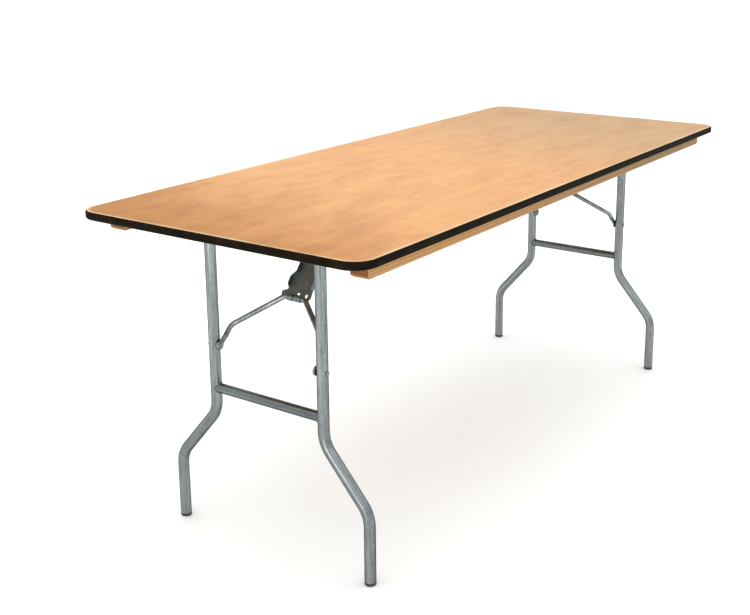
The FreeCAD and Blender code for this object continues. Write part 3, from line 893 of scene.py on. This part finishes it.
@dataclass(frozen=True)
class MouldedPlastic(Finish):
    """Moulded polyethylene: a waxy dark grey with pale scuffs from the floor."""

    colour: str = "#2B2C2B"
    scuffed: str = "#5A5A57"
    scuff: Noise = Noise(6.0, detail=4.0, roughness=0.7)
    scuff_stops: tuple[float, float] = (0.5, 0.8)
    roughness: float = 0.4
    scuff_roughness: float = 0.3

    def paint(self, tree: Tree, surface: Node, place: Socket) -> None:
        """Adds the plastic's scuffs.

        Args:
            tree: The material's node tree.
            surface: The shader that the nodes feed.
            place: The point on the piece, in metres in the table's frame.
        """
        scuffs = add_node(tree, "TexNoise", self.scuff.inputs(place)).outputs["Fac"]
        colours = ramp(self.scuff_stops, self.colour, self.scuffed)
        colour = add_node(tree, "ValToRGB", {"Fac": scuffs}, stops=colours).outputs["Color"]
        gloss = add_node(
            tree, "Math", {0: scuffs, 1: self.scuff_roughness, 2: self.roughness}, operation="MULTIPLY_ADD"
        ).outputs[0]
        feed(tree, surface, {"Base Color": colour, "Roughness": gloss})


# Peeled veneer under clear lacquer: a warm, cloudy figure with a thin even gloss
PLYWOOD = LacqueredPlywood("lacquered_plywood", Slot.TOP)

# Black extruded vinyl: a satin strip that shows little but its rub marks
VINYL = ExtrudedVinyl("extruded_vinyl", Slot.EDGE)

# Planed pine: growth rings as stripes along the boards, with arcs on their ends
RAIL_PINE = SawnBoard("rail_pine", Slot.RAIL, grain=Axis.X)
CLEAT_PINE = SawnBoard("cleat_pine", Slot.CLEAT, grain=Axis.Y, early="#B98E5C", late="#8A6138")

# Galvanised tube and rod: cold grey with a half-dull shine, streaked on the tubes, mottled on the rods
TUBE = GalvanisedLeg("galvanised_tube", Slot.LEG)
# The crossbar and pivot rod: a darker copy of the tube finish, painted shade for their place under the top
CROSS_TUBE_PAINTED_SHADE = GalvanisedSteel(
    "galvanised_cross_tube_painted_shade", Slot.LEG, dark="#626767", pale="#808586", line_stretch=(1.0, 0.03, 1.0)
)
ROD = GalvanisedSteel("galvanised_rod", Slot.ROD, spangle_mm=4.0, line_stretch=(0.1, 0.1, 0.1))

# Pressed galvanised sheet: the plates darker and duller, with more spangle, the brackets paler
PLATE = GalvanisedSteel(
    "galvanised_plate",
    Slot.PLATE,
    dark="#667074",
    pale="#889297",
    spangle_mm=5.0,
    spangle_share=0.35,
    streak_share=0.2,
    dullest=0.58,
    brightest=0.42,
)
BRACKET = GalvanisedSteel("galvanised_bracket", Slot.BRACKET, dark="#767C7C", pale="#9AA0A0")

# Zinc-plated screws: paler and warmer than the galvanised pieces
SCREW = GalvanisedSteel(
    "zinc_screw", Slot.SCREW, dark="#8A8B84", pale="#B5B5AC", spangle_mm=2.0, dullest=0.4, brightest=0.25
)

# Arc weld: a dark rippled bead, mottled grey
WELD = WeldMetal("weld_metal", Slot.LEG)

# Moulded polyethylene: waxy, dark and scuffed
FOOT = MouldedPlastic("moulded_polyethylene", Slot.FOOT)


def dress(node: str, finish: Finish) -> None:
    """Gives a CAD node its finish.

    Args:
        node: The node's name.
        finish: What its surface is.
    """
    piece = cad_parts[node]
    piece.data.materials.clear()
    piece.data.materials.append(finish.material())
    LOG.info("%s: %s, for slot %s", node, finish.name, finish.slot.value)


def add_piece(name: str, shape: bmesh.types.BMesh, finish: Finish, body: str) -> bpy.types.Object:
    """Makes a piece from a mesh, and lets it ride on a CAD body.

    Args:
        name: The piece's name.
        shape: Its mesh, in the table's frame, which is freed here.
        finish: What its surface is.
        body: The CAD body that it moves with.

    Returns:
        The new piece.
    """
    bmesh.ops.recalc_face_normals(shape, faces=shape.faces)
    mesh = bpy.data.meshes.new(name)
    shape.to_mesh(mesh)
    shape.free()
    mesh.shade_smooth()
    mesh.set_sharp_from_angle(angle=math.radians(SMOOTH_DEGREES))
    mesh.materials.append(finish.material())
    piece = bpy.data.objects.new(name, mesh)
    bpy.context.scene.collection.objects.link(piece)
    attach(piece, body)
    LOG.info("%s: %s, on %s", name, finish.name, body)
    return piece


def solid_boxes(node: str) -> list[tuple[Vector, Vector]]:
    """Finds the separate solids of a CAD node.

    Args:
        node: The node's name.

    Returns:
        The lowest and highest corner of each solid.
    """
    shape = bmesh.new()
    shape.from_mesh(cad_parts[node].data)
    bmesh.ops.remove_doubles(shape, verts=shape.verts, dist=MERGE_MM * MM)
    boxes = []
    waiting = set(shape.verts)
    while waiting:
        reached = [waiting.pop()]
        for vertex in reached:
            for edge in vertex.link_edges:
                other = edge.other_vert(vertex)
                if other in waiting:
                    waiting.remove(other)
                    reached.append(other)
        low = Vector(min(vertex.co[axis] for vertex in reached) for axis in range(3))
        high = Vector(max(vertex.co[axis] for vertex in reached) for axis in range(3))
        boxes.append((low, high))
    shape.free()
    return sorted(boxes, key=lambda box: tuple(box[0]))


@dataclass(frozen=True)
class ScrewHead:
    """The shape of a screw's head, from its crown to the shank.

    The crown is a share of the head's radius.  Each ring after it is a share of that radius
    and a height above the crown in millimetres.
    """

    crown_share: float
    rings: tuple[tuple[float, float], ...]


FLAT_HEAD = ScrewHead(0.97, ((1.0, 0.15), (0.5, 2.6)))
PAN_HEAD = ScrewHead(0.62, ((0.86, 0.3), (0.96, 0.8), (1.0, 1.4), (1.0, 2.4)))


@dataclass
class Screws:
    """A set of wood screws driven upwards, each with a cross recess in its head."""

    node: str
    head: ScrewHead
    shank_mm: float = 2.1
    tip_mm: float = 4.0
    recess_reach_mm: float = 2.0
    recess_half_mm: float = 0.5
    recess_depth_mm: float = 1.3
    recess_taper: float = 0.45
    segments: int = 28

    def outline(self, low: Vector, high: Vector) -> list[tuple[float, float]]:
        """Works out one screw's profile.

        Args:
            low: The lowest corner of the CAD screw.
            high: Its highest corner.

        Returns:
            Radius and height of each ring, from the crown of the head to the tip.
        """
        radius = (high.x - low.x) / 2
        rings = [(radius * self.head.crown_share, low.z)]
        rings += [(radius * share, low.z + rise * MM) for share, rise in self.head.rings]
        under_head = rings[-1][1]
        rings.append((self.shank_mm * MM, under_head))
        rings.append((self.shank_mm * MM, high.z - self.tip_mm * MM))
        return rings

    def add_screw(self, shape: bmesh.types.BMesh, low: Vector, high: Vector, turn: float) -> None:
        """Adds one screw to a mesh.

        Args:
            shape: The mesh that gets the screw.
            low: The lowest corner of the CAD screw.
            high: Its highest corner.
            turn: How far the driver left the recess turned, in radians.
        """
        axis = (low + high) / 2
        rings = []
        for radius, height in self.outline(low, high):
            ring = []
            for index in range(self.segments):
                angle = FULL_TURN * index / self.segments
                spoke = Vector((math.cos(angle), math.sin(angle), 0)) * radius
                ring.append(shape.verts.new((axis.x + spoke.x, axis.y + spoke.y, height)))
            rings.append(ring)
        for lower, upper in zip(rings, rings[1:]):
            for index in range(self.segments):
                after = (index + 1) % self.segments
                shape.faces.new((lower[index], lower[after], upper[after], upper[index]))
        tip = shape.verts.new((axis.x, axis.y, high.z))
        for index in range(self.segments):
            shape.faces.new((rings[-1][index], rings[-1][(index + 1) % self.segments], tip))
        self.add_recess(shape, rings[0], Vector((axis.x, axis.y, low.z)), turn)

    def add_recess(
        self, shape: bmesh.types.BMesh, rim: list[bmesh.types.BMVert], centre: Vector, turn: float
    ) -> None:
        """Closes a screw's crown with a tapered cross recess.

        Args:
            shape: The mesh that holds the screw.
            rim: The crown's ring of vertices.
            centre: The middle of the crown.
            turn: How far the recess is turned, in radians.
        """
        reach = self.recess_reach_mm * MM
        half = self.recess_half_mm * MM
        arm = [Vector((reach, -half, 0)), Vector((reach, half, 0)), Vector((half, half, 0))]
        cross = []
        for quarter in range(4):
            spin = Matrix.Rotation(turn + quarter * FULL_TURN / 4, 3, "Z")
            cross += [spin @ corner for corner in arm]
        mouth = [shape.verts.new(centre + corner) for corner in cross]
        sunk = Vector((0, 0, self.recess_depth_mm * MM))
        floor = [shape.verts.new(centre + corner * self.recess_taper + sunk) for corner in cross]
        bottom = shape.verts.new(centre + sunk)
        for index, corner in enumerate(mouth):
            after = (index + 1) % len(mouth)
            shape.faces.new((corner, mouth[after], floor[after], floor[index]))
            shape.faces.new((floor[index], floor[after], bottom))
        edges = []
        for loop in (rim, mouth):
            for index, vertex in enumerate(loop):
                after = loop[(index + 1) % len(loop)]
                edges.append(shape.edges.get((vertex, after)) or shape.edges.new((vertex, after)))
        bmesh.ops.triangle_fill(shape, use_beauty=True, edges=edges)

    def build(self) -> None:
        """Builds all the screws as one piece in place of the CAD node."""
        shape = bmesh.new()
        for index, (low, high) in enumerate(solid_boxes(self.node)):
            # One radian more for each screw leaves no two recesses alike
            self.add_screw(shape, low, high, turn=float(index))
        piece = add_piece(self.node + "_driven", shape, SCREW, "tabletop")
        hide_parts(self.node)


@dataclass
class Tabletop:
    """The plywood top with its edging, rails, cleats, brackets and screws."""

    flat_screws: tuple[str, ...] = ("rail_screws", "cleat_screws")
    pan_screws: tuple[str, ...] = ("hinge_bracket_screws", "brace_bracket_screws")

    def build(self) -> None:
        """Dresses the top and builds its screws."""
        dress("tabletop_panel", PLYWOOD)
        dress("edge_moulding", VINYL)
        for row in Row:
            dress(f"{row.value}_rail", RAIL_PINE)
        for end in End:
            dress(f"{end.value}_hinge_cleat", CLEAT_PINE)
            dress(f"{end.value}_brace_cleat", CLEAT_PINE)
            dress(f"{end.value}_brace_bracket", BRACKET)
            dress(f"{end.value}_brace_pin", BRACKET)
            for row in Row:
                dress(f"{end.value}_{row.value}_hinge_bracket", BRACKET)
        for node in self.flat_screws:
            Screws(node, FLAT_HEAD).build()
        for node in self.pan_screws:
            Screws(node, PAN_HEAD).build()


@dataclass
class LegFrame:
    """One end's leg frame: two bent tubes, a welded crossbar, a pivot rod and two feet."""

    end: End
    bead_mm: float = 2.6
    bead_sink_mm: float = 0.7
    ripple_share: float = 0.07
    ripple_count: int = 26
    bead_steps: int = 156
    bead_sides: int = 10

    def name(self, piece: str) -> str:
        """The full name of one of this end's pieces."""
        return f"{self.end.value}_{piece}"

    def add_weld(self, row: Row) -> None:
        """Adds the bead where the crossbar meets one leg.

        Args:
            row: Which leg.
        """
        bar_low, bar_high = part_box(self.name("crossbar"))
        leg_low, leg_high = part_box(self.name(f"{row.value}_leg"))
        bar_radius = (bar_high.z - bar_low.z) / 2
        leg_radius = (leg_high.x - leg_low.x) / 2
        centre = (bar_low + bar_high) / 2
        leg_face = abs(leg_high.y if row is Row.FRONT else leg_low.y)
        leg_line = leg_face + leg_radius
        shape = bmesh.new()
        rings = []
        for step in range(self.bead_steps):
            angle = FULL_TURN * step / self.bead_steps
            across = bar_radius * math.cos(angle)
            depth = math.sqrt(leg_radius**2 - across**2)
            seam = Vector((across, row.sign * (leg_line - depth), bar_radius * math.sin(angle)))
            bar_normal = Vector((math.cos(angle), 0, math.sin(angle)))
            leg_normal = Vector((across, -row.sign * depth, 0)).normalized()
            outward = (bar_normal + leg_normal).normalized()
            run = bar_normal.cross(leg_normal).normalized()
            side = run.cross(outward)
            ripple = 1 + self.ripple_share * math.sin(self.ripple_count * angle)
            middle = Vector((centre.x, 0, centre.z)) + seam - outward * self.bead_sink_mm * MM
            ring = []
            for turn in range(self.bead_sides):
                swing = FULL_TURN * turn / self.bead_sides
                spoke = outward * math.cos(swing) + side * math.sin(swing)
                ring.append(shape.verts.new(middle + spoke * self.bead_mm * MM * ripple))
            rings.append(ring)
        for ring, following in zip(rings, rings[1:] + rings[:1]):
            for turn in range(self.bead_sides):
                after = (turn + 1) % self.bead_sides
                shape.faces.new((ring[turn], ring[after], following[after], following[turn]))
        add_piece(self.name(f"{row.value}_weld"), shape, WELD, self.name("leg_frame"))

    def build(self) -> None:
        """Dresses the leg frame and builds its welds.

        The leg rivets keep the frame's plain grey.
        """
        # Painted shade: the crossbar and pivot rod take the darker copy of the tube finish
        dress(self.name("crossbar"), CROSS_TUBE_PAINTED_SHADE)
        dress(self.name("pivot_rod"), CROSS_TUBE_PAINTED_SHADE)
        for row in Row:
            dress(self.name(f"{row.value}_leg"), TUBE)
            dress(self.name(f"{row.value}_foot"), FOOT)
            self.add_weld(row)


@dataclass
class Brace:
    """One end's folding brace: a channel plate, two bent rods and their rivet tails."""

    end: End

    def build(self) -> None:
        """Dresses the brace.

        The rivet tails keep the frame's plain grey.
        """
        dress(f"{self.end.value}_brace_plate", PLATE)
        for row in Row:
            dress(f"{self.end.value}_{row.value}_brace_rod", ROD)


@dataclass(frozen=True)
class SoftLight:
    """A soft rectangular light panel, with its place and size in metres."""

    name: str
    place: tuple[float, float, float]
    aim: tuple[float, float, float]
    width: float
    height: float
    watts: float

    def build(self) -> None:
        """Adds the light."""
        lamp = bpy.data.lights.new(self.name, "AREA")
        lamp.shape = "RECTANGLE"
        lamp.size = self.width
        lamp.size_y = self.height
        lamp.energy = self.watts
        light = bpy.data.objects.new(self.name, lamp)
        light.location = self.place
        ray = Vector(self.aim) - Vector(self.place)
        light.rotation_euler = ray.to_track_quat("-Z", "Y").to_euler()
        bpy.context.scene.collection.objects.link(light)


@dataclass
class Studio:
    """A pale floor, soft light all round, and a camera where the photograph was taken from.

    Places and the floor's size are in metres, the camera's angles in radians, and its frame,
    focal length and centre in the photograph's pixels.
    """

    image_width: float = 750.0
    image_height: float = 615.0
    focal_px: float = 1146.476
    centre_px: tuple[float, float] = (398.688, 224.260)
    camera_place: tuple[float, float, float] = (-2.490369, -1.549961, 1.335612)
    azimuth: float = 0.6039
    dip: float = 0.2491
    roll: float = -0.0047
    sensor_mm: float = 36.0

    floor_size: float = 60.0
    floor_colour: str = "#F2F3F3"
    floor_roughness: float = 0.9
    floor_specular: float = 0.1

    sky_low: str = "#ABAFB1"
    sky_high: str = "#FFFFFF"
    sky_stops: tuple[float, float] = (0.05, 0.6)
    sky_strength: float = 1.6
    backdrop: str = "#FFFFFF"
    backdrop_strength: float = 1.0

    lights: tuple[SoftLight, ...] = (
        SoftLight(
            "overhead", place=(0.4, 0.2, 4.0), aim=(0.0, 0.0, 0.7), width=3.6, height=2.4, watts=30.0
        ),
        SoftLight(
            "low_panel", place=(-4.0, -0.5, 0.4), aim=(-0.75, 0.0, 0.4), width=2.0, height=0.7, watts=16.0
        ),
    )

    def add_floor(self) -> None:
        """Adds the floor, which is not part of the table."""
        shape = bmesh.new()
        bmesh.ops.create_grid(shape, x_segments=1, y_segments=1, size=self.floor_size / 2)
        mesh = bpy.data.meshes.new("floor")
        shape.to_mesh(mesh)
        shape.free()
        paint = bpy.data.materials.new("pale_floor")
        paint.use_nodes = True
        shading = {
            "Base Color": linear(self.floor_colour),
            "Roughness": self.floor_roughness,
            "Specular IOR Level": self.floor_specular,
        }
        feed(paint.node_tree, paint.node_tree.nodes["Principled BSDF"], shading)
        mesh.materials.append(paint)
        floor = bpy.data.objects.new("floor", mesh)
        bpy.context.scene.collection.objects.link(floor)

    def add_sky(self) -> None:
        """Adds light from all round, dimmer towards the horizon, behind a white backdrop."""
        world = bpy.data.worlds.new("studio")
        world.use_nodes = True
        tree = world.node_tree
        tree.nodes.clear()
        direction = add_node(tree, "TexCoord").outputs["Generated"]
        height = add_node(tree, "SeparateXYZ", {"Vector": direction}).outputs["Z"]
        colours = ramp(self.sky_stops, self.sky_low, self.sky_high)
        colour = add_node(tree, "ValToRGB", {"Fac": height}, stops=colours).outputs["Color"]
        glow = add_node(tree, "Background", {"Color": colour, "Strength": self.sky_strength})
        paper = add_node(
            tree, "Background", {"Color": linear(self.backdrop), "Strength": self.backdrop_strength}
        )
        seen = add_node(tree, "LightPath").outputs["Is Camera Ray"]
        sky = add_node(
            tree,
            "MixShader",
            {0: seen, 1: glow.outputs["Background"], 2: paper.outputs["Background"]},
        )
        add_node(tree, "OutputWorld", {"Surface": sky.outputs["Shader"]})
        bpy.context.scene.world = world

    def add_camera(self) -> None:
        """Adds the camera at the photograph's viewpoint, with its framing."""
        lens = bpy.data.cameras.new("photo_camera")
        lens.sensor_width = self.sensor_mm
        lens.lens = self.sensor_mm * self.focal_px / self.image_width
        lens.shift_x = (self.image_width / 2 - self.centre_px[0]) / self.image_width
        lens.shift_y = (self.centre_px[1] - self.image_height / 2) / self.image_width
        camera = bpy.data.objects.new("photo_camera", lens)
        forward = Vector(
            (
                math.cos(self.dip) * math.cos(self.azimuth),
                math.cos(self.dip) * math.sin(self.azimuth),
                -math.sin(self.dip),
            )
        )
        right = forward.cross(Vector((0, 0, 1))).normalized()
        up = right.cross(forward)
        tilted_right = right * math.cos(self.roll) + up * math.sin(self.roll)
        tilted_up = up * math.cos(self.roll) - right * math.sin(self.roll)
        turn = Matrix((tilted_right, tilted_up, -forward)).transposed()
        camera.matrix_world = Matrix.Translation(self.camera_place) @ turn.to_4x4()
        bpy.context.scene.collection.objects.link(camera)
        bpy.context.scene.camera = camera

    def build(self) -> None:
        """Builds the studio."""
        bpy.context.scene.view_settings.view_transform = "Standard"
        self.add_floor()
        self.add_sky()
        self.add_camera()
        for light in self.lights:
            light.build()


def main() -> None:
    """Builds the table's looks piece by piece, then the studio round it."""
    logging.basicConfig(level=logging.INFO, format="%(name)s: %(message)s")
    Tabletop().build()
    for end in End:
        LegFrame(end).build()
        Brace(end).build()
    Studio().build()


if __name__ == "__main__":
    main()
